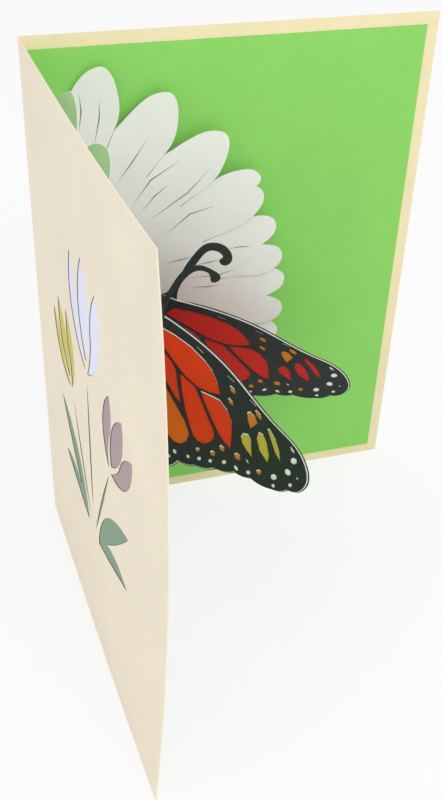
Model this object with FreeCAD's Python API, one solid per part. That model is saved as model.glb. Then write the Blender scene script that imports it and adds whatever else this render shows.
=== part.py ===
import FreeCAD, Part
import math
import os

# A folded greeting card that stands open on its lower edges. A paper daisy lies in its fold,
# and a paper butterfly with raised wings sits on the daisy. Millimetres, +Z up along the
# spine, and the card opens towards -Y. Right is the back cover's side, left the front's.

V = FreeCAD.Vector
UP = V(0, 0, 1)
SIDES = (("right", 1), ("left", -1))

# Card
card_width = 150.0
card_height = 200.0
card_opening = 88.0
cover_thickness = 0.4
spine_radius = 0.9          # inside the cover's fold

# The front cover is not quite flat: its fore edge bends inwards by these amounts.
bow_at_bottom = 1.2
bow_at_middle = 5.3
bow_at_top = 2.4

# Green inner sheet
sheet_thickness = 0.25
sheet_margin = 4.5          # cream border left free on three sides
glue_layer = 0.1            # between the cover and the sheet

# Cut design in the front cover, with coloured papers set in its windows
inlay_thickness = 0.2
inlay_clearance = 0.12
bunch_foot = (78.0, 52.0)   # where the stems meet, from the spine and from the lower edge
stem_width = 1.7
stem_gap = 3.0              # solid card left between a stem and its flower
# Tilt and length of each stem, where its window starts, height and colour of its flower
stems = ((0.0, 66.0, 12.0, 40.0, "white"),
         (-26.0, 50.0, 6.0, 31.0, "mustard"),
         (26.0, 50.0, 6.0, 31.0, "mauve"))
# Petal windows, across and up from the flower's base, as shares of its height
middle_petal = ((0.0, 0.1), (0.16, 0.52), (0.0, 1.0), (-0.16, 0.52))
side_petal = ((0.03, 0.0), (0.37, 0.3), (0.36, 0.88), (0.2, 0.62), (0.17, 0.36), (0.11, 0.15))
leaf_length = 46.0
leaf_width = 9.0
leaf_bend = 3.0
leaf_foot = (6.0, 3.0)      # from the foot of the bunch
leaf_angles = ((48.0, 1.0), (76.0, 0.72))   # off the middle stem, with each leaf's share of the size

# Daisy
daisy_height = 96.5         # its middle, above the card's lower edge
daisy_azimuth = 3.5         # of its plane of symmetry, off the middle of the opening
daisy_half_angle = 35.5     # from that plane to each half
daisy_fold_radius = 0.6
daisy_seat = 0.1            # from its fold to the inner sheet
petal_thickness = 0.25
petal_count = 24
petal_root = 66.0           # radius at which the cuts between petals start
petal_straight_end = 76.0
petal_reach = 96.4
fold_petal_reach = 86.0
petal_half_width = 12.4     # of the widest petals
# A petal's edge from its upper side to its lower one: radius and distance from its middle
# line. The petals that point straight out of the fold have two lobes, each a list of its own.
wide_petal = (((84.0, 12.0), (90.0, 11.3), (94.3, 7.8), (93.6, 3.9), (90.4, 1.3), (87.2, 0.0)),
              ((90.4, -1.3), (93.6, -3.9), (93.6, -7.8), (90.0, -11.0), (84.0, -12.0)))
narrow_petal = (((86.0, 10.1), (91.0, 8.6), (95.6, 5.6), (96.6, 2.6), (93.1, 0.0)),
                ((94.6, -3.1), (93.4, -6.0), (90.6, -8.2), (85.0, -10.1)))
single_petal = (((82.0, 8.2), (87.5, 6.6), (92.0, 4.6), (95.2, 1.6), (petal_reach, -1.4), (94.8, -4.4),
                 (90.5, -7.4), (84.5, -9.8)),)
fold_petal = (((80.5, 7.6), (84.6, 4.4), (fold_petal_reach, 0.0), (84.6, -4.4), (80.5, -7.6)),)
petals = (wide_petal, wide_petal, narrow_petal, single_petal, single_petal, single_petal, fold_petal)
petal_lift = 1.3            # of a petal's lower edge at its tip
front_petal_tilts = (0.0, 0.0, 0.0, 2.5, 5.9, 5.4)      # inwards, of the front half's upper tips
petal_cut = 0.3             # width of the cut between two petals
# Slits that stand for veins: radius and angle of each slit's start, middle and end. Each half of
# the daisy has them above and below the line that points straight out of the fold.
veins = (
    ((57.0, 6.4), (63.3, 5.5), (70.0, 5.2)), ((56.0, 11.0), (68.4, 9.0), (76.5, 10.1)),
    ((60.0, 15.2), (66.0, 14.6), (72.0, 14.3)), ((50.0, 20.5), (56.0, 19.3), (62.0, 18.8)),
    ((74.0, 17.0), (79.5, 16.3), (84.5, 14.9)), ((54.0, 31.7), (67.6, 33.5), (77.3, 31.1)),
    ((52.9, 41.0), (72.1, 39.6), (85.6, 41.0)), ((53.6, 45.5), (62.6, 46.3), (69.5, 45.6)),
    ((53.0, 49.8), (66.4, 50.9), (79.5, 47.8)), ((57.4, 59.8), (68.6, 58.9), (80.2, 58.6)),
    ((68.0, 71.0), (79.5, 72.1), (86.2, 73.4)), ((72.0, 76.2), (80.0, 76.7), (86.3, 78.0)),
)
vein_width = 0.42
overreach = 1.1             # helper shapes run this much past the outlines they meet

centre_radius = 15.0
centre_notch_radius = 14.1
centre_thickness = 0.25
centre_scallops = 9         # on each half

# Folded strips that hold the two halves of the daisy off the pages
strut_height = 46.0
strut_flange = 9.0
strut_start = 22.0          # from the spine to the glued foot
strut_thickness = 0.25

# Butterfly: its wings' planes meet in a sloping line through the spine's line
wing_azimuth = 7.6          # of its plane of symmetry, off the middle of the opening
wing_apex_height = 82.5
wing_slope = 45.0           # of the body above level
wing_spread = 19.1          # from the plane of symmetry to each wing
core_thickness = 0.3
lattice_thickness = 0.25
# How far each wing's outer sheet, core and inner sheet stand out past its outline
sheet_borders = {"right": (0.7, 0.3, 0.0), "left": (0.1, 0.45, 0.9)}
body_start = 5.0
body_end = 53.5
body_offset = 12.6          # from the line where the wings' planes meet
body_flange = 6.0
body_thickness = 0.3
head_length = 5.5
leg_start = 20.0            # along the line where a wing meets the petals
leg_end = 43.0
leg_reach = 9.5
tab_width = 7.0
tab_mitre = 3.0

# Wing outline: u runs along the body towards the head, v away from the body.
wing_root = 13.9
wing_middle = (38.0, 50.0)
front_root = (55.6, wing_root)
leading_edge = ((57.2, 18.5), (61.6, 26.5), (66.4, 37.0), (69.8, 47.5), (72.2, 60.0), (74.8, 71.5),
                (77.4, 81.5), (76.7, 88.5), (74.0, 93.1), (70.4, 94.6), (65.5, 92.2))
forewing_cusps = ((59.8, 89.5), (54.4, 82.6), (49.6, 78.0), (42.6, 73.3), (35.6, 69.0), (29.8, 64.4))
hindwing_cusps = ((23.6, 63.8), (16.6, 65.6), (9.6, 64.4), (3.4, 60.4), (-1.4, 54.0), (-3.8, 46.6))
inner_margin = ((-3.7, 38.0), (-0.8, 28.4), (3.8, 20.0), (9.6, wing_root))
scallop_depth = 0.7

# An antenna grows out of the front root of each black outer sheet: its outer edge up to the
# end of its curl, then its inner edge back to the wing's leading edge.
antennas = {
    "right": (((60.0, 13.3), (71.0, 9.6), (79.0, 7.5), (85.0, 7.4), (88.4, 10.6), (88.5, 15.0),
               (85.6, 18.5), (83.2, 18.7)),
              ((81.9, 16.8), (82.6, 15.5), (84.6, 15.2), (85.3, 12.8), (83.4, 10.2), (79.0, 10.3),
               (71.0, 12.3), (63.0, 14.6), (57.2, 18.5))),
    "left": (((60.0, 13.3), (70.0, 10.0), (76.5, 9.3), (81.6, 11.3), (85.0, 15.2), (86.2, 18.2),
              (84.6, 19.2)),
             ((82.2, 17.2), (82.8, 15.9), (81.6, 13.6), (78.0, 11.8), (71.0, 12.3), (63.0, 14.6),
              (57.2, 18.5))),
}

# Windows between the veins, in the same coordinates
cells = (
    ((49.4, 20.2), (53.8, 20.2), (57.6, 25.8), (61.0, 32.2), (63.2, 39.0), (63.8, 43.4), (63.0, 48.4),
     (61.4, 52.2), (57.6, 49.4), (54.6, 45.8), (52.3, 40.4), (51.3, 34.6), (50.4, 27.6)),
    ((47.5, 20.6), (49.1, 27.0), (50.2, 33.0), (50.0, 36.4), (47.4, 41.0), (44.3, 47.4), (43.5, 44.6),
     (43.7, 37.0), (44.5, 30.0), (45.6, 23.6)),
    ((50.8, 38.2), (53.6, 45.4), (52.8, 50.6), (51.7, 57.0), (50.9, 62.0), (49.4, 64.2), (46.8, 64.8),
     (44.2, 64.2), (42.2, 62.2), (41.8, 59.6), (42.9, 55.4), (44.8, 49.8), (47.6, 43.8)),
    ((54.9, 47.3), (58.0, 50.8), (60.2, 53.6), (60.8, 58.0), (59.8, 62.6), (57.0, 66.4), (53.2, 70.6),
     (52.2, 66.2), (52.3, 61.8), (53.2, 55.2), (54.1, 49.6)),
    ((43.6, 22.4), (42.9, 30.0), (42.2, 38.0), (42.0, 46.0), (41.8, 53.6), (40.6, 58.4), (37.8, 60.2),
     (34.8, 60.0), (32.4, 57.8), (31.8, 54.0), (33.4, 46.0), (36.8, 37.0), (40.6, 28.2)),
    ((24.4, 18.4), (29.4, 25.6), (29.8, 34.8), (26.2, 40.6), (21.6, 37.2), (20.8, 27.0)),
    ((28.6, 41.8), (29.0, 51.6), (27.6, 57.2), (24.2, 58.6), (22.6, 54.2), (25.4, 44.2)),
    ((23.8, 43.2), (20.8, 54.0), (20.6, 59.2), (16.6, 60.6), (13.8, 58.0), (15.8, 50.6), (20.8, 41.6)),
    ((19.4, 40.2), (13.8, 49.4), (11.4, 56.0), (7.4, 54.4), (5.0, 50.8), (9.6, 43.8), (17.8, 37.2)),
    ((17.6, 35.2), (8.2, 42.0), (3.8, 47.4), (1.6, 43.6), (1.6, 38.8), (8.6, 33.2), (18.0, 29.2)),
    ((18.4, 26.8), (8.8, 30.6), (2.8, 35.2), (3.2, 31.2), (6.8, 24.6), (12.0, 19.4), (20.2, 18.0)),
)
drops = (
    ((59.6, 76.8), (61.2, 74.2), (63.2, 71.2), (63.4, 69.0), (61.8, 67.8), (60.0, 68.4), (59.1, 70.6),
     (59.1, 73.6)),
    ((64.2, 81.2), (66.4, 79.0), (68.2, 75.0), (68.8, 71.4), (67.8, 70.0), (65.4, 72.0), (63.9, 76.0)),
    ((69.0, 83.0), (71.0, 79.6), (72.3, 75.2), (72.4, 71.0), (71.4, 70.6), (70.4, 74.4), (69.2, 79.0)),
    ((65.2, 67.8), (69.0, 67.4), (69.6, 64.6), (68.9, 62.4), (67.5, 62.3), (66.2, 64.6)),
)
# Middle, half width and half height of each small window
orange_spots = (
    (71.2, 65.0, 0.9, 2.1), (63.8, 56.2, 0.8, 1.7), (67.1, 53.0, 0.9, 1.8), (54.3, 74.0, 1.3, 1.6),
    (59.0, 82.4, 1.1, 1.1), (50.2, 68.8, 1.1, 1.4), (45.4, 68.7, 1.2, 1.2), (40.3, 64.9, 1.1, 0.9),
)
white_spots = (
    (74.2, 84.7, 1.4, 1.3), (69.7, 87.2, 1.3, 1.4), (63.5, 86.4, 1.4, 1.2), (76.0, 81.2, 0.5, 1.5),
    (67.8, 91.5, 0.9, 0.8), (61.4, 89.0, 0.8, 0.8), (54.9, 80.8, 1.0, 0.9), (51.2, 77.4, 0.8, 1.2),
    (47.9, 73.5, 1.2, 0.8), (42.7, 70.7, 1.0, 0.8), (38.8, 68.0, 1.1, 0.8), (34.8, 65.3, 0.8, 0.8),
    (57.0, 77.2, 0.4, 1.1), (71.8, 90.6, 0.5, 0.5), (30.5, 61.3, 0.9, 1.0), (27.0, 61.6, 0.9, 0.8),
)
hindwing_spot_inset = 3.4   # from the scalloped margin to its row of white windows
hindwing_spot_radius = 0.9
spot_sides = 6
dash_width = 0.4
dash_length = 3.4
dashes = ((63.6, 35.2), (68.7, 49.4), (71.7, 60.6))
dash_angle = 72.0


def direction(azimuth):
    """Level direction: 0 points straight out of the open card, a positive angle to the right."""
    angle = math.radians(azimuth)
    return V(math.sin(angle), -math.cos(angle), 0)


def turned(first, second, degrees):
    """The first direction turned by an angle towards the second, which is square to it."""
    angle = math.radians(degrees)
    return first * math.cos(angle) + second * math.sin(angle)


class Panel:
    """A reference plane: point(a, b, c) lies a along it, b up it and c off it."""

    def __init__(self, origin, along, up, normal):
        self.origin = origin
        self.along = along
        self.up = up
        self.normal = normal

    def point(self, a, b, c=0.0):
        return self.origin + self.along * a + self.up * b + self.normal * c


def upright_panel(foot, azimuth, side, height=0.0):
    """A vertical panel that starts at foot; its normal faces the other side's panel."""
    return Panel(foot + UP * height, direction(azimuth), UP, direction(azimuth - side * 90.0))


def outline(panel, start, steps, off):
    """A closed wire. A step of one point is a line, of two an arc and of more a smooth curve."""
    edges = []
    last = start
    for step in steps:
        points = [panel.point(a, b, off) for a, b in (last,) + tuple(step)]
        if len(step) == 1:
            edges.append(Part.LineSegment(*points).toShape())
        elif len(step) == 2:
            edges.append(Part.Arc(*points).toShape())
        else:
            curve = Part.BSplineCurve()
            curve.interpolate(points)
            edges.append(curve.toShape())
        last = step[-1]
    return Part.Wire(edges)


def polygon(panel, points, off):
    return outline(panel, points[0], [(p,) for p in points[1:]] + [(points[0],)], off)


def plate(panel, wire, thickness):
    """The wire filled and thickened along the panel's normal."""
    return Part.Face(wire).extrude(panel.normal * thickness)


def slab(panel, points, low, high):
    return plate(panel, polygon(panel, points, low), high - low)


def rectangle(a0, b0, a1, b1):
    return ((a0, b0), (a1, b0), (a1, b1), (a0, b1))


def joined(first, others):
    return first.multiFuse(others).removeSplitter()


def bend(apex, azimuth, half_angle, centre_off, low, high, bottom, top):
    """The rounded fold of a sheet that lies from low to high off two panels that meet at apex."""
    centre = apex + direction(azimuth) * (centre_off / math.sin(math.radians(half_angle)))
    reach = 90.0 - half_angle
    rims = []
    for radius in (centre_off - high, centre_off - low):
        points = [centre - direction(azimuth + turn) * radius + UP * bottom for turn in (-reach, 0.0, reach)]
        rims.append(points)
    inner, outer = rims
    wire = Part.Wire([
        Part.Arc(*inner).toShape(),
        Part.LineSegment(inner[2], outer[2]).toShape(),
        Part.Arc(*reversed(outer)).toShape(),
        Part.LineSegment(outer[0], inner[0]).toShape(),
    ])
    return Part.Face(wire).extrude(UP * (top - bottom))


def bend_start(half_angle, centre_off):
    """Distance from the apex at which the flat part of a folded sheet starts."""
    return centre_off / math.tan(math.radians(half_angle))


page_half_angle = card_opening / 2
page_start = bend_start(page_half_angle, spine_radius)
pages = {name: upright_panel(V(), side * page_half_angle, side) for name, side in SIDES}
front = pages["left"]


def bow(part_of_width):
    """Greatest inward bend of the front cover at a distance from the spine."""
    return bow_at_middle * part_of_width ** 3


front_depth = 2 * bow_at_middle     # cuts this deep go right through the bent panel


def front_slab(low, high):
    """The whole front panel between two distances off it, with the bend of its fore edge."""
    middle_pole = 2 * bow_at_middle - (bow_at_bottom + bow_at_top) / 2
    surface = Part.BezierSurface()
    surface.increase(3, 2)
    for i in range(4):
        along = page_start + (card_width - page_start) * i / 3
        for j, amount in enumerate((bow_at_bottom, middle_pole, bow_at_top)):
            off = amount if i == 3 else 0.0
            surface.setPole(i + 1, j + 1, front.point(along, card_height * j / 2, low + off))
    return surface.toShape().extrude(front.normal * (high - low))


def card_sheet(low, high, margin):
    """A sheet folded at the spine, with a margin to the card's three other edges."""
    area = rectangle(page_start, margin, card_width - margin, card_height - margin)
    back_half = slab(pages["right"], area, low, high)
    front_half = front_slab(low, high).common(slab(front, area, -front_depth, front_depth))
    fold = bend(V(), 0.0, page_half_angle, spine_radius, low, high, margin, card_height - margin)
    return joined(back_half, [front_half, fold])


def flower_head(middle, tilt, height):
    """Windows of one cup-shaped flower: a pointed middle petal between two side petals."""
    across = V(math.cos(tilt), -math.sin(tilt), 0)
    onward = V(math.sin(tilt), math.cos(tilt), 0)
    heads = []
    for side, petal in ((1, middle_petal), (1, side_petal), (-1, side_petal)):
        spots = [middle + (across * (side * x) + onward * y) * height for x, y in petal]
        corners = [(spot.x, spot.y) for spot in spots + spots[:1]]
        heads.append((corners[0], tuple(zip(corners[1::2], corners[2::2]))))
    return heads


def leaf(start, angle, length, width, lean):
    """A window between two arcs that meet in points; lean bends the whole leaf sideways."""
    onward = V(math.sin(angle), math.cos(angle), 0)
    across = V(math.cos(angle), -math.sin(angle), 0)
    end = start + onward * length
    middle = start + onward * (length / 2) + across * lean
    sides = [middle + across * (width / 2), middle - across * (width / 2)]
    tip = (end.x, end.y)
    foot = (start.x, start.y)
    return (foot, (((sides[0].x, sides[0].y), tip), ((sides[1].x, sides[1].y), foot)))


def front_design():
    """Windows of the cut design by colour, as outlines on the front panel."""
    foot = V(*bunch_foot, 0)
    windows = {"white": [], "mustard": [], "mauve": [], "sage": []}
    for degrees, length, start, flower, colour in stems:
        tilt = math.radians(degrees)
        onward = V(math.sin(tilt), math.cos(tilt), 0)
        windows["sage"].append(leaf(foot + onward * start, tilt, length - start, stem_width, 0.0))
        windows[colour] += flower_head(foot + onward * (length + stem_gap), tilt, flower)
    for side in (1, -1):
        for degrees, share in leaf_angles:
            angle = math.radians(side * degrees)
            start = foot + V(side * leaf_foot[0], share * leaf_foot[1], 0)
            windows["sage"].append(
                leaf(start, angle, leaf_length * share, leaf_width * share, -side * leaf_bend))
    return windows


def make_cover_and_inlays():
    windows = front_design()
    holes = []
    inlays = {}
    inlay_layer = front_slab(-inlay_thickness, 0.0)
    for colour, outlines in windows.items():
        pieces = []
        for start, steps in outlines:
            wire = outline(front, start, steps, -front_depth)
            holes.append(plate(front, wire, 2 * front_depth))
            inset = wire.makeOffset2D(-inlay_clearance)
            pieces.append(inlay_layer.common(plate(front, inset, 2 * front_depth)))
        inlays["front_inlays_" + colour] = Part.makeCompound([p.Solids[0] for p in pieces])
    cover = card_sheet(-cover_thickness, 0.0, 0.0).cut(Part.makeCompound(holes))
    return {"cover": cover, **inlays}


# The daisy's fold sits in the spine's fold, just clear of the inner sheet.
page_surface = glue_layer + sheet_thickness
near_page_angle = page_half_angle - abs(daisy_azimuth)
daisy_fold_off = page_surface + daisy_fold_radius + daisy_seat
daisy_fold_distance = daisy_fold_off / math.sin(math.radians(near_page_angle))
daisy_apex = direction(daisy_azimuth) * (
    daisy_fold_distance - daisy_fold_radius / math.sin(math.radians(daisy_half_angle)))
daisy_start = bend_start(daisy_half_angle, daisy_fold_radius)
daisy = {name: upright_panel(daisy_apex, daisy_azimuth + side * daisy_half_angle, side, daisy_height)
         for name, side in SIDES}
petal_step = 360.0 / petal_count
petal_depth = 3 * (petal_lift + max(front_petal_tilts))     # cuts this deep go through any petal


def petal_panel(half, angle):
    """A panel whose first axis runs out along one petal, from the daisy's middle."""
    return Panel(half.origin, turned(half.along, half.up, angle), turned(half.up, -half.along, angle),
                 half.normal)


def petal_outline(panel, number, off):
    """One petal from the ring of cuts outwards. Number 0 points straight out of the fold."""
    half_step = math.tan(math.radians(petal_step / 2))
    root = petal_root * half_step - petal_cut / 2
    straight = petal_straight_end * half_step - petal_cut / 2
    *upper_lobes, lobe = petals[abs(number)]
    lobe += ((petal_straight_end, -straight),)
    steps = (((petal_straight_end, straight),), *upper_lobes, lobe, ((petal_root, -root),),
             ((petal_root, root),))
    return outline(panel, (petal_root, root), steps, off)


def lifted_petal(half, number):
    """One petal, twisted so that its lower edge lies over the next petal down."""
    panel = petal_panel(half, number * petal_step)
    wide = petal_half_width * overreach
    far = petal_reach * overreach
    steepness = (far - petal_root) / (petal_reach - petal_root)
    lift = petal_lift * overreach * steepness
    tilt = 0.0
    if half is daisy["left"] and number > 0:
        tilt = front_petal_tilts[number] * steepness
    root_edge = Part.LineSegment(panel.point(petal_root, -wide), panel.point(petal_root, wide)).toShape()
    far_edge = Part.LineSegment(panel.point(far, -wide, tilt + lift),
                                panel.point(far, wide, tilt - lift)).toShape()
    twisted = Part.makeRuledSurface(root_edge, far_edge).extrude(panel.normal * petal_thickness)
    return twisted.common(plate(panel, petal_outline(panel, number, -petal_depth), 2 * petal_depth))


def vein_slits(half):
    """Narrow bowed slits in the petals of one half."""
    slits = []
    for side in (1, -1):
        for start, middle, end in veins:
            widen = math.degrees(vein_width / 2 / middle[0])
            ring = (start, (middle[0], middle[1] - widen), end, (middle[0], middle[1] + widen))
            turns = [(radius, math.radians(side * angle)) for radius, angle in ring]
            points = [(radius * math.cos(turn), radius * math.sin(turn)) for radius, turn in turns]
            slits.append(slab(half, points, -petal_depth, petal_depth))
    return slits


def daisy_half(half):
    """One half of the daisy's sheet: its flat middle, its lifted petals and half of two folded ones."""
    corner = petal_root / math.cos(math.radians(petal_step / 2))
    steps = petal_count // 4
    angles = [math.radians((k + 0.5) * petal_step) for k in range(-steps, steps)]
    rim = [(corner * math.cos(a), corner * math.sin(a)) for a in angles]
    rim = [(0.0, -petal_root)] + rim + [(0.0, petal_root)]
    pieces = [lifted_petal(half, k) for k in range(1 - steps, steps)]
    for number in (steps, -steps):
        panel = petal_panel(half, number * petal_step)
        pieces.append(plate(panel, petal_outline(panel, number, 0.0), petal_thickness))
    sheet = joined(slab(half, rim, 0.0, petal_thickness), pieces)
    reach = petal_reach * overreach
    keep = rectangle(daisy_start, -reach, reach, reach)
    return sheet.cut(Part.makeCompound(vein_slits(half))).common(slab(half, keep, -petal_depth, petal_depth))


def make_daisy():
    halves = [daisy_half(daisy[name]) for name, side in SIDES]
    fold_reach = fold_petal_reach - petal_thickness
    fold = bend(daisy_apex, daisy_azimuth, daisy_half_angle, daisy_fold_radius, 0.0, petal_thickness,
                daisy_height - fold_reach, daisy_height + fold_reach)
    return joined(halves[0], [halves[1], fold])


def make_daisy_centre():
    """A folded yellow disc with a scalloped rim, glued on the petals."""
    low = petal_thickness
    high = petal_thickness + centre_thickness
    turn = math.radians(180.0 / centre_scallops)
    parts = []
    for name, side in SIDES:
        steps = []
        for k in range(centre_scallops):
            ring = []
            for share, radius in ((0.5, centre_radius), (1.0, centre_notch_radius)):
                angle = turn * (k + share) - math.pi / 2
                ring.append((daisy_start + radius * math.cos(angle), radius * math.sin(angle)))
            steps.append(ring)
        first = (daisy_start, -centre_notch_radius)
        half = daisy[name]
        parts.append(plate(half, outline(half, first, steps + [(first,)], low), centre_thickness))
    parts.append(bend(daisy_apex, daisy_azimuth, daisy_half_angle, daisy_fold_radius, low, high,
                      daisy_height - centre_notch_radius, daisy_height + centre_notch_radius))
    return joined(parts[0], parts[1:])


def make_strut(name):
    """A strip folded in a Z: a foot on the page, a riser and a flange under the petals."""
    page = pages[name]
    half = daisy[name]
    end = strut_start + strut_flange
    bent = bow(end / card_width) if name == "left" else 0.0
    foot_off = page_surface + bent + strut_thickness / 2
    line = (page.point(strut_start, 0.0, foot_off), page.point(end, 0.0, foot_off),
            half.point(end, -daisy_height, -strut_thickness / 2),
            half.point(end + strut_flange, -daisy_height, -strut_thickness / 2))
    runs = []
    for p, q in zip(line, line[1:]):
        square = (q - p).cross(UP).normalize() * (strut_thickness / 2)
        corners = (p - square, q - square, q + square, p + square, p - square)
        wire = Part.makePolygon([c + UP * (daisy_height - strut_height / 2) for c in corners])
        runs.append(Part.Face(wire).extrude(UP * strut_height))
    return joined(runs[0], runs[1:])


# The butterfly's frame: along its body, away from it in the plane of symmetry, and across.
wing_apex = UP * wing_apex_height
outward = direction(wing_azimuth)
body_line = turned(outward, UP, wing_slope)
away = turned(outward, -UP, 90.0 - wing_slope)
across = direction(wing_azimuth + 90.0)


def wing_panel(side):
    return Panel(wing_apex, body_line, turned(away, across * side, wing_spread),
                 turned(across * side, -away, wing_spread))


def scallops(last, cusps):
    """Arcs that bulge out between the cusps of the wing's margin."""
    steps = []
    for cusp in cusps:
        chord = (cusp[0] - last[0], cusp[1] - last[1])
        length = math.hypot(*chord)
        middle = ((cusp[0] + last[0]) / 2 + chord[1] / length * scallop_depth,
                  (cusp[1] + last[1]) / 2 - chord[0] / length * scallop_depth)
        steps.append((middle, cusp))
        last = cusp
    return steps


def wing_outline(panel, off, border, antenna=()):
    """The wing's edge, from the front root round the tip and both wings' margins to the body."""
    def grown(points):
        moved = []
        for u, v in points:
            du = u - wing_middle[0]
            dv = v - wing_middle[1]
            share = 1 + border / math.hypot(du, dv)
            moved.append((wing_middle[0] + du * share, wing_middle[1] + dv * share))
        return tuple(moved)

    root = grown((front_root,))[0]
    leading = grown(leading_edge)
    steps = list(antenna) or [(leading[0],)]
    steps.append(leading[1:])
    steps += scallops(leading[-1], grown(forewing_cusps + hindwing_cusps))
    steps.append(grown(inner_margin))
    steps.append((root,))
    return outline(panel, root, steps, off)


def spot_outline(panel, spot, off):
    u, v, half_width, half_height = spot
    turns = [2 * math.pi * k / spot_sides for k in range(spot_sides)]
    corners = [(u + half_width * math.cos(t), v + half_height * math.sin(t)) for t in turns]
    return polygon(panel, corners, off)


def hindwing_spots():
    """White windows in a row inside the hindwing's scalloped margin."""
    spots = []
    for p, q in zip(hindwing_cusps, hindwing_cusps[1:]):
        chord = (q[0] - p[0], q[1] - p[1])
        length = math.hypot(*chord)
        spots.append(((p[0] + q[0]) / 2 - chord[1] / length * hindwing_spot_inset,
                      (p[1] + q[1]) / 2 + chord[0] / length * hindwing_spot_inset,
                      hindwing_spot_radius, hindwing_spot_radius))
    return spots


def dash_outline(panel, middle, off):
    """A short slot beside the leading edge."""
    angle = math.radians(dash_angle)
    run = V(math.cos(angle), math.sin(angle), 0) * (dash_length / 2)
    side = V(-math.sin(angle), math.cos(angle), 0) * (dash_width / 2)
    centre = V(middle[0], middle[1], 0)
    corners = [centre + run * i + side * j for i, j in ((-1, -1), (1, -1), (1, 1), (-1, 1))]
    return polygon(panel, [(c.x, c.y) for c in corners], off)


def make_lattice(panel, low, border, antenna=()):
    """A black sheet cut through between the veins and at the spots."""
    spots = orange_spots + white_spots + tuple(hindwing_spots())
    wires = [wing_outline(panel, low, border, antenna)]
    wires += [polygon(panel, points, low) for points in cells + drops]
    wires += [spot_outline(panel, spot, low) for spot in spots]
    wires += [dash_outline(panel, middle, low) for middle in dashes]
    return Part.makeFace(wires, "Part::FaceMakerCheese").extrude(panel.normal * lattice_thickness)


def meeting_line(panel, other, off):
    """Point next to the apex, and direction down, of the line where a wing meets a raised plane."""
    run = panel.normal.cross(other.normal).normalize()
    if run.z > 0:
        run = -run
    rates = (panel.normal.dot(panel.origin), other.normal.dot(other.point(0, 0, off)), run.dot(panel.origin))
    spread = panel.normal.dot(other.normal.cross(run))
    point = (other.normal.cross(run) * rates[0] + run.cross(panel.normal) * rates[1]
             + panel.normal.cross(other.normal) * rates[2]) * (1 / spread)
    return point, run


def make_core(name, side, border):
    """The white sheet inside a wing, with a leg down to the petals and a tab glued on them."""
    panel = wing_panel(side)
    half = daisy[name]
    start = -core_thickness / 2
    wing = plate(panel, wing_outline(panel, start, border), core_thickness)
    foot, run = meeting_line(panel, half, petal_thickness)
    raised = panel.normal.cross(run)
    if raised.dot(panel.along) < 0:
        raised = -raised
    low = panel.normal * start
    corners = [foot + run * leg_start, foot + run * leg_end,
               foot + run * leg_end + raised * leg_reach, foot + run * leg_start + raised * leg_reach]
    leg_wire = Part.makePolygon([c + low for c in corners + corners[:1]])
    leg = Part.Face(leg_wire).extrude(panel.normal * core_thickness)
    inward = half.normal.cross(run)
    if inward.dot(across * side) > 0:
        inward = -inward
    ends = [foot + run * leg_start, foot + run * leg_end,
            foot + run * (leg_end - tab_mitre) + inward * tab_width,
            foot + run * (leg_start + tab_mitre) + inward * tab_width]
    tab = Part.Face(Part.makePolygon(ends + ends[:1])).extrude(half.normal * core_thickness)
    reach = petal_reach
    below = slab(half, rectangle(-reach, -reach, reach, reach), -reach, petal_thickness)
    return joined(wing, [leg.cut(below), tab])


def make_body():
    """A black strip folded in a channel between the wings, with a round head."""
    gap = core_thickness / 2 + lattice_thickness
    ends = rectangle(body_start, body_offset, body_end, body_offset + body_flange)
    flanges = [slab(wing_panel(side), ends, -gap - body_thickness, -gap) for name, side in SIDES]
    spread = math.radians(wing_spread)
    half = body_offset * math.sin(spread) - gap * math.cos(spread)
    level = body_offset * math.cos(spread) + gap * math.sin(spread)
    web = Panel(wing_apex + away * level, body_line, across, away)
    steps = (((body_end, -half),), ((body_end + head_length, 0.0), (body_end, half)), ((body_start, half),),
             ((body_start - half, 0.0), (body_start, -half)))
    strip = plate(web, outline(web, (body_start, -half), steps, 0.0), body_thickness)
    return joined(strip, flanges)


def make_parts():
    parts = make_cover_and_inlays()
    parts["inner_sheet"] = card_sheet(glue_layer, page_surface, sheet_margin)
    parts["daisy_petals"] = make_daisy()
    parts["daisy_centre"] = make_daisy_centre()
    parts["back_strut"] = make_strut("right")
    parts["front_strut"] = make_strut("left")
    parts["butterfly_body"] = make_body()
    for name, side in SIDES:
        panel = wing_panel(side)
        half_core = core_thickness / 2
        outer, core, inner = sheet_borders[name]
        parts[name + "_wing_outer_lattice"] = make_lattice(panel, half_core, outer, antennas[name])
        parts[name + "_wing_core"] = make_core(name, side, core)
        parts[name + "_wing_inner_lattice"] = make_lattice(panel, -half_core - lattice_thickness, inner)
    return parts


def main():
    parts = make_parts()
    box = Part.makeCompound(list(parts.values())).optimalBoundingBox(False)
    shift = V(-box.Center.x, -box.Center.y, -box.ZMin)
    os.makedirs("parts", exist_ok=True)
    for name, shape in parts.items():
        shape.translate(shift)
        shape.exportStep("parts/" + name + ".step")
        print(name, len(shape.Solids), shape.isValid(), round(shape.Volume, 2))
    print("spine at", round(shift.x, 3), round(shift.y, 3))


main()
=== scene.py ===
import math

import bmesh
import bpy
from mathutils import Matrix, Vector


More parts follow.
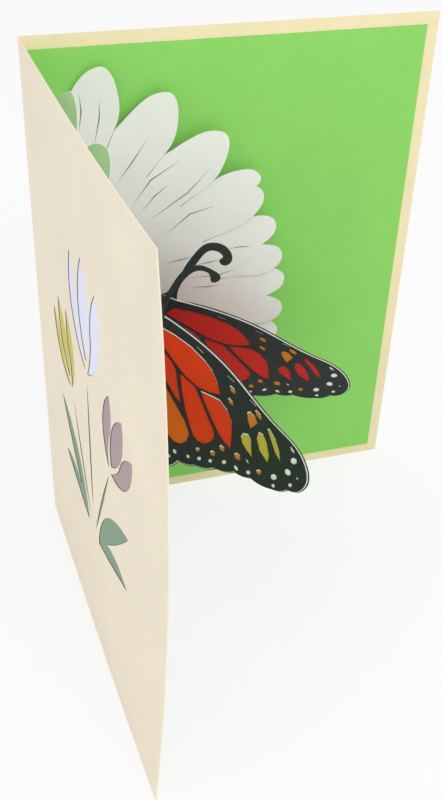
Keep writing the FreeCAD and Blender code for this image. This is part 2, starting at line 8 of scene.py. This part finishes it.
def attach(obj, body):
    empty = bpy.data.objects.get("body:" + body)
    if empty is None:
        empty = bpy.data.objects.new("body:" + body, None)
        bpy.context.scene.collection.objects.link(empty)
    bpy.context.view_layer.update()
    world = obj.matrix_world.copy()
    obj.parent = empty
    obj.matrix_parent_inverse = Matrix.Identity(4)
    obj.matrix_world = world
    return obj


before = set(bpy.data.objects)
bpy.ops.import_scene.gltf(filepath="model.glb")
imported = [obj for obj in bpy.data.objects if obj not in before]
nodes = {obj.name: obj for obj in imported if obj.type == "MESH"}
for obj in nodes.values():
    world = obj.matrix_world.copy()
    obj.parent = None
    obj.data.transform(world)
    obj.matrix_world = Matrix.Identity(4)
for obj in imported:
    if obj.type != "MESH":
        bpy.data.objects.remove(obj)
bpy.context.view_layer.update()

# An open pop up card: cream cover, green lining, white paper daisy and a butterfly whose
# black cut-out sheets lie on printed white paper. Metres, in the frame of the solids.

MM = 0.001
UP = Vector((0, 0, 1))

# Where the solids stand. Angles are in degrees.
spine = Vector((-0.432, 59.254, 0)) * MM
page_half_angle = 44.0
card_height = 200 * MM
daisy_azimuth = 3.5
daisy_half_angle = 35.5
daisy_height = 96.5 * MM
wing_azimuth = 7.6
wing_apex_height = 82.5 * MM
wing_slope = 45.0
wing_spread = 19.1
core_half_thickness = 0.15 * MM

# Print on the wings' white paper, under the windows of the black sheets
print_thickness = 0.03 * MM
outer_print_shift = (-0.36 * MM, 0.48 * MM)     # along the body and away from it
inner_print_shift = (-0.12 * MM, 0.1 * MM)
cell_shift_share = 0.3                          # of that shift, for cells nearer the tail
whole_shift_start = 54 * MM
print_finish = {"tooth": 0.2, "roughness": 0.7, "mottle": 0.09}
cell_area = 40 * MM ** 2
drop_area = 7.5 * MM ** 2
amber_cells_end = 41 * MM                       # windows nearer the tail than this are amber
triangle_drop = Vector((67.6, 65.2)) * MM
orange_spots = [Vector(spot) * MM for spot in (
    (71.2, 65.0), (63.8, 56.2), (67.1, 53.0), (54.3, 74.0),
    (59.0, 82.4), (50.2, 68.8), (45.4, 68.7), (40.3, 64.9),
)]
spot_match = 1.0 * MM

# The windows of the front design, from the spine and from the lower edge, have walls painted dark as
# shade.
design_start = 15 * MM
design_end = 135 * MM
design_low = 20 * MM
design_high = 180 * MM
design_blur = 5 * MM

# Distances from the daisy's middle
# Painted shade on the petals: full inside the first distance, gone beyond the second
petal_painted_shade_start = 30 * MM
petal_painted_shade_end = 88 * MM
# The slits' walls are painted as shade out to this distance
slits_end = 84 * MM
slits_blur = 4 * MM
seeds_start = 5 * MM
seeds_end = 13 * MM

# Scales of the patterns in paper. A higher one is finer.
cloud_scale = 34.0
pulp_scale = 260.0
seed_scale = 620.0
fleck_scale = 900.0
fibre_scale = 1500.0
tooth_height = 0.12 * MM

# The camera stands at this place from the spine's foot.
camera_place = Vector((-277.2, -209.38, 306.66)) * MM
camera_forward = Vector((0.72990, 0.34870, -0.58791))
camera_right = Vector((0.45129, -0.89182, 0.03132))
camera_lens = 47.5

# Colours as they are seen, red, green and blue from 0 to 255
cream_outside = (236, 226, 205)
cream_inside = (238, 224, 182)
# Painted shade for the walls of the windows in the front design
window_wall_shade = (74, 62, 52)
page_green = (139, 209, 100)
petal_white = (245, 246, 240)
# Painted shade on the petals nearer the daisy's middle
petal_painted_shade = (226, 226, 218)
# Painted shade on the cut walls of the petals' slits
slit_wall_shade = (160, 147, 122)
wing_black = (40, 48, 47)
wing_paper = (244, 243, 238)
centre_yellow = (232, 196, 70)
centre_dark = (196, 142, 40)
strut_white = (232, 232, 226)
print_colours = {
    "orange": (228, 62, 8),
    "amber": (224, 108, 14),
    "olive": (202, 182, 62),
    "spot": (216, 128, 26),
    "red": (210, 38, 26),
}
inlay_colours = {
    "front_inlays_white": (226, 229, 250),
    "front_inlays_mustard": (207, 196, 104),
    "front_inlays_mauve": (176, 156, 158),
    "front_inlays_sage": (134, 160, 138),
}


def direction(azimuth):
    """Level direction: 0 points straight out of the open card, a positive angle to the right."""
    angle = math.radians(azimuth)
    return Vector((math.sin(angle), -math.cos(angle), 0))


def turned(first, second, degrees):
    """The first direction turned by an angle towards the second, which is square to it."""
    angle = math.radians(degrees)
    return first * math.cos(angle) + second * math.sin(angle)


def linear(colour):
    """A seen colour as the linear values that a shader takes."""
    values = []
    for part in colour:
        share = part / 255
        values.append(share / 12.92 if share <= 0.04045 else ((share + 0.055) / 1.055) ** 2.4)
    return (*values, 1.0)


class Shader:
    """Short ways to add and join the nodes of one material."""

    def __init__(self, name):
        self.material = bpy.data.materials.new(name)
        self.material.use_nodes = True
        self.tree = self.material.node_tree
        self.tree.nodes.clear()

    def add(self, kind, settings=(), **inputs):
        node = self.tree.nodes.new(kind)
        for key, value in dict(settings).items():
            setattr(node, key, value)
        for key, value in inputs.items():
            self.put(node, key.replace("_", " "), value)
        return node

    def put(self, node, socket, value):
        target = node.inputs[int(socket)] if socket.isdigit() else node.inputs[socket]
        if isinstance(value, bpy.types.NodeSocket):
            self.tree.links.new(value, target)
        else:
            target.default_value = value

    def maths(self, operation, first, second=0.0):
        node = self.add("ShaderNodeMath", {"operation": operation})
        self.put(node, "0", first)
        self.put(node, "1", second)
        return node.outputs[0]

    def dot(self, vector, axis):
        node = self.add("ShaderNodeVectorMath", {"operation": "DOT_PRODUCT"})
        self.put(node, "0", vector)
        self.put(node, "1", tuple(axis))
        return node.outputs["Value"]

    def between(self, value, low, high, to_low=0.0, to_high=1.0):
        node = self.add("ShaderNodeMapRange", {"interpolation_type": "SMOOTHSTEP"})
        for socket, number in zip("01234", (value, low, high, to_low, to_high)):
            self.put(node, socket, number)
        return node.outputs[0]

    def mixed(self, share, first, second):
        node = self.add("ShaderNodeMix", {"data_type": "RGBA"})
        self.put(node, "0", share)
        self.put(node, "6", first)
        self.put(node, "7", second)
        return node.outputs[2]

    def place(self, stretch=(1, 1, 1)):
        place = self.add("ShaderNodeTexCoord").outputs["Object"]
        mapping = self.add("ShaderNodeMapping", Vector=place, Scale=stretch)
        return mapping.outputs[0]

    def noise(self, scale, detail=3.0, stretch=(1, 1, 1), roughness=0.55):
        node = self.add("ShaderNodeTexNoise", Vector=self.place(stretch), Scale=scale, Detail=detail,
                        Roughness=roughness)
        return node.outputs["Fac"]


def paper(name, colour, tooth=0.3, roughness=0.82, mottle=0.05, paint=None, glow=0.0):
    """Uncoated paper: fine tooth, longer fibres, slight clouds of tone, and paint() for what is
    special about one sheet. glow is the share of light that comes through it."""
    s = Shader(name)
    clouds = s.between(s.noise(cloud_scale, 4.0), 0.3, 0.7)
    flecks = s.between(s.noise(fleck_scale, 5.0, (1, 1, 0.45)), 0.25, 0.8)
    base = paint(s) if paint else linear(colour)
    lighter = s.add("ShaderNodeHueSaturation", Value=1 + mottle * 0.4)
    s.put(lighter, "Color", base)
    darker = s.add("ShaderNodeHueSaturation", Value=1 - mottle)
    s.put(darker, "Color", base)
    tone = s.maths("ADD", s.maths("MULTIPLY", clouds, 0.6), s.maths("MULTIPLY", flecks, 0.4))
    shown = s.mixed(tone, darker.outputs[0], lighter.outputs[0])
    fibres = s.noise(fibre_scale, 6.0, (1, 1, 0.3), 0.7)
    pulp = s.noise(pulp_scale, 4.0)
    relief = s.maths("ADD", s.maths("MULTIPLY", fibres, 0.6), s.maths("MULTIPLY", pulp, 0.4))
    bump = s.add("ShaderNodeBump", Strength=tooth, Distance=tooth_height, Height=relief)
    rough = s.between(fibres, 0.3, 0.7, roughness - 0.08, roughness + 0.08)
    surface = s.add("ShaderNodeBsdfPrincipled", Roughness=rough, Normal=bump.outputs[0])
    s.put(surface, "Base Color", shown)
    surface.inputs["Specular IOR Level"].default_value = 0.3
    result = surface.outputs[0]
    if glow:
        through = s.add("ShaderNodeBsdfTranslucent", Color=shown, Normal=bump.outputs[0])
        mix = s.add("ShaderNodeMixShader", Fac=glow)
        s.put(mix, "1", result)
        s.put(mix, "2", through.outputs[0])
        result = mix.outputs[0]
    out = s.add("ShaderNodeOutputMaterial")
    s.put(out, "Surface", result)
    return s.material


def facing(s, axis):
    """How much a flat face looks along an axis, from -1 to 1."""
    return s.dot(s.add("ShaderNodeNewGeometry").outputs["True Normal"], axis)


def cover_paint(s):
    """Cream card, yellower on its inside, with painted shade on the walls of the windows in its front."""
    on_front = s.between(s.dot(s.place(), (1, 0, 0)), -1 * MM, 0.0, 1.0, 0.0)
    front_inside = s.between(facing(s, direction(90 - page_half_angle)), 0.5, 0.7)
    back_inside = s.between(facing(s, direction(page_half_angle - 90)), 0.5, 0.7)
    inside = s.maths("ADD", s.maths("MULTIPLY", on_front, front_inside),
                     s.maths("MULTIPLY", s.maths("SUBTRACT", 1.0, on_front), back_inside))
    sheet = s.mixed(inside, linear(cream_outside), linear(cream_inside))
    front_normal = direction(90 - page_half_angle)
    level = s.maths("ABSOLUTE", facing(s, front_normal))
    wall = s.between(level, 0.35, 0.6, 1.0, 0.0)
    across = s.dot(s.place(), direction(-page_half_angle))
    from_spine = s.maths("SUBTRACT", across, spine.dot(direction(-page_half_angle)))
    height = s.dot(s.place(), UP)
    limits = (
        s.between(from_spine, design_start, design_start + design_blur),
        s.between(from_spine, design_end - design_blur, design_end, 1.0, 0.0),
        s.between(height, design_low, design_low + design_blur),
        s.between(height, design_high - design_blur, design_high, 1.0, 0.0),
    )
    # The window walls inside the design are painted dark as shade.
    mask = wall
    for limit in limits:
        mask = s.maths("MULTIPLY", mask, limit)
    return s.mixed(mask, sheet, linear(window_wall_shade))


def from_daisy_middle(s):
    away = s.add("ShaderNodeVectorMath", {"operation": "DISTANCE"})
    s.put(away, "0", s.place())
    s.put(away, "1", tuple(spine + UP * daisy_height))
    return away.outputs["Value"]


def petal_paint(s):
    """White paper with painted shade that greys it softly towards the daisy's middle, and painted shade on
    the laser-cut walls of its slits.
    """
    away = from_daisy_middle(s)
    # Painted shade, fading out away from the middle
    outer = s.between(away, petal_painted_shade_start, petal_painted_shade_end)
    sheet = s.mixed(outer, linear(petal_painted_shade), linear(petal_white))
    # The walls of the slits are painted as shade
    right = s.maths("ABSOLUTE", facing(s, direction(daisy_azimuth + daisy_half_angle - 90)))
    left = s.maths("ABSOLUTE", facing(s, direction(daisy_azimuth - daisy_half_angle + 90)))
    wall = s.between(s.maths("MAXIMUM", right, left), 0.5, 0.8, 1.0, 0.0)
    inner = s.between(away, slits_end - slits_blur, slits_end, 1.0, 0.0)
    return s.mixed(s.maths("MULTIPLY", wall, inner), sheet, linear(slit_wall_shade))


def centre_paint(s):
    """Yellow paper with a ring of darker printed seeds."""
    seeds = s.add("ShaderNodeTexVoronoi", Vector=s.place(), Scale=seed_scale)
    dots = s.between(seeds.outputs["Distance"], 0.25, 0.4, 1.0, 0.0)
    ring = s.between(from_daisy_middle(s), seeds_start, seeds_end)
    return s.mixed(s.maths("MULTIPLY", dots, ring), linear(centre_yellow), linear(centre_dark))


def dress(node_name, material):
    """Give a solid its material."""
    mesh = nodes[node_name].data
    mesh.materials.clear()
    mesh.materials.append(material)


def dress_solids():
    dress("cover", paper("cream_card", cream_outside, tooth=0.4, paint=cover_paint))
    dress("inner_sheet", paper("green_paper", page_green, mottle=0.04))
    dress("daisy_petals", paper("petal_paper", petal_white, paint=petal_paint, glow=0.12))
    dress("daisy_centre", paper("yellow_paper", centre_yellow, paint=centre_paint))
    for name in ("back_strut", "front_strut"):
        dress(name, paper(name + "_paper", strut_white))
    for name, colour in inlay_colours.items():
        dress(name, paper(name + "_paper", colour, mottle=0.07))
    black = paper("black_paper", wing_black, tooth=0.35, roughness=0.62, mottle=0.12)
    white = paper("wing_paper", wing_paper, tooth=0.2)
    dress("butterfly_body", black)
    for side in ("right", "left"):
        dress(side + "_wing_outer_lattice", black)
        dress(side + "_wing_inner_lattice", black)
        dress(side + "_wing_core", white)


def wing_frame(side):
    """Apex, direction along the body, direction away from it, and normal of one wing."""
    outward = direction(wing_azimuth)
    along = turned(outward, UP, wing_slope)
    away = turned(outward, -UP, 90 - wing_slope)
    across = direction(wing_azimuth + 90) * side
    apex = spine + UP * wing_apex_height
    return apex, along, turned(away, across, wing_spread), turned(across, -away, wing_spread)


def window_outlines(node, normal):
    """The edges of all holes in a flat sheet, each as a list of points on the face along normal."""
    grid = bmesh.new()
    grid.from_mesh(node.data)
    bmesh.ops.remove_doubles(grid, verts=grid.verts, dist=0.005 * MM)
    grid.normal_update()
    flat = {face for face in grid.faces if face.normal.dot(normal) > 0.99}
    following = {}
    for face in flat:
        for corner in face.loops:
            if sum(other in flat for other in corner.edge.link_faces) == 1:
                following[corner.vert] = corner.link_loop_next.vert
    outlines = []
    while following:
        start, point = following.popitem()
        points = [start.co.copy()]
        while point is not start:
            points.append(point.co.copy())
            point = following.pop(point)
        outlines.append(points)
    grid.free()
    # The tallest outline is the sheet's own edge.
    outlines.sort(key=lambda points: max(p.z for p in points) - min(p.z for p in points))
    return outlines[:-1]


def area_and_middle(points):
    """Area and centre of a flat outline."""
    twice = 0.0
    middle = Vector((0, 0))
    for p, q in zip(points, points[1:] + points[:1]):
        part = p.x * q.y - q.x * p.y
        twice += part
        middle += (p + q) * part
    return abs(twice) / 2, middle / (3 * twice)


def print_colour(area, middle, outer):
    """Which ink lies under a window, by its size and place. None is bare white paper."""
    if area > cell_area:
        if not outer:
            return "red"
        return "orange" if middle.x > amber_cells_end else "amber"
    if area > drop_area:
        if (middle - triangle_drop).length < 2 * spot_match:
            return "spot"
        return "olive" if outer else "red"
    if any((middle - spot).length < spot_match for spot in orange_spots):
        return "spot"
    return None


def make_print(side_name, side, outer, inks):
    """The coloured patches on one face of a wing's white paper."""
    apex, along, away, normal = wing_frame(side)
    face = normal if outer else -normal
    lattice = nodes[side_name + ("_wing_outer_lattice" if outer else "_wing_inner_lattice")]
    shift = outer_print_shift if outer else inner_print_shift
    name = side_name + ("_wing_outer_print" if outer else "_wing_inner_print")
    grid = bmesh.new()
    names = list(inks)
    for points in window_outlines(lattice, face):
        flat = [Vector(((p - apex).dot(along), (p - apex).dot(away))) for p in points]
        area, middle = area_and_middle(flat)
        ink = print_colour(area, middle, outer)
        if ink is None:
            continue
        share = cell_shift_share if area > cell_area and middle.x < whole_shift_start else 1.0
        moved = [apex + along * (p.x + shift[0] * share) + away * (p.y + shift[1] * share) for p in flat]
        low = [grid.verts.new(p + face * core_half_thickness) for p in moved]
        high = [grid.verts.new(p + face * (core_half_thickness + print_thickness)) for p in moved]
        sides = [(low[i - 1], low[i], high[i], high[i - 1]) for i in range(len(low))]
        for corners in [high, low[::-1]] + sides:
            grid.faces.new(corners).material_index = names.index(ink)
    bmesh.ops.recalc_face_normals(grid, faces=grid.faces)
    mesh = bpy.data.meshes.new(name)
    grid.to_mesh(mesh)
    grid.free()
    for material in inks.values():
        mesh.materials.append(material)
    piece = bpy.data.objects.new(name, mesh)
    bpy.context.scene.collection.objects.link(piece)
    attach(piece, "root")


def make_prints():
    inks = {name: paper("print_" + name, colour, **print_finish) for name, colour in print_colours.items()}
    for side_name, side in (("right", 1), ("left", -1)):
        for outer in (True, False):
            make_print(side_name, side, outer, inks)


def make_floor():
    bpy.ops.mesh.primitive_plane_add(size=6.0)
    floor = bpy.context.object
    floor.name = "floor"
    s = Shader("pale_floor")
    ground = s.add("ShaderNodeBsdfPrincipled", Roughness=0.9)
    ground.inputs["Base Color"].default_value = (0.86, 0.86, 0.875, 1.0)
    glow = s.add("ShaderNodeEmission", Strength=1.0)
    glow.inputs["Color"].default_value = (1.0, 1.0, 1.0, 1.0)
    seen = s.maths("MULTIPLY", s.add("ShaderNodeLightPath").outputs["Is Camera Ray"], 0.75)
    mix = s.add("ShaderNodeMixShader", Fac=seen)
    s.put(mix, "1", ground.outputs[0])
    s.put(mix, "2", glow.outputs[0])
    s.put(s.add("ShaderNodeOutputMaterial"), "Surface", mix.outputs[0])
    floor.data.materials.append(s.material)


def make_light(name, place, target, size, power):
    lamp = bpy.data.lights.new(name, "AREA")
    lamp.size = size
    lamp.energy = power
    light = bpy.data.objects.new(name, lamp)
    light.location = place
    light.rotation_euler = (target - light.location).to_track_quat("-Z", "Y").to_euler()
    bpy.context.scene.collection.objects.link(light)


def make_lights():
    world = bpy.data.worlds.new("studio")
    bpy.context.scene.world = world
    world.use_nodes = True
    background = world.node_tree.nodes["Background"]
    background.inputs["Color"].default_value = (1.0, 1.0, 1.0, 1.0)
    background.inputs["Strength"].default_value = 0.78
    middle = Vector((0, 0, card_height / 2))
    make_light("key", Vector((-0.6, -0.9, 1.1)), middle, 0.8, 7.0)
    make_light("fill", Vector((0.9, -0.8, 0.6)), middle, 1.0, 2.5)
    make_light("front_cover_fill", Vector((-1.1, 0.55, 0.5)), middle, 0.9, 3.0)


def make_camera():
    camera_data = bpy.data.cameras.new("camera")
    camera_data.lens = camera_lens
    camera_data.sensor_width = 36.0
    camera_data.clip_start = 0.01
    camera = bpy.data.objects.new("camera", camera_data)
    raised = camera_right.cross(camera_forward)
    turn = Matrix((camera_right, raised, -camera_forward)).transposed()
    camera.matrix_world = Matrix.Translation(spine + camera_place) @ turn.to_4x4()
    bpy.context.scene.collection.objects.link(camera)
    bpy.context.scene.camera = camera


dress_solids()
make_prints()
make_floor()
make_lights()
make_camera()
bpy.context.scene.view_settings.view_transform = "Standard"
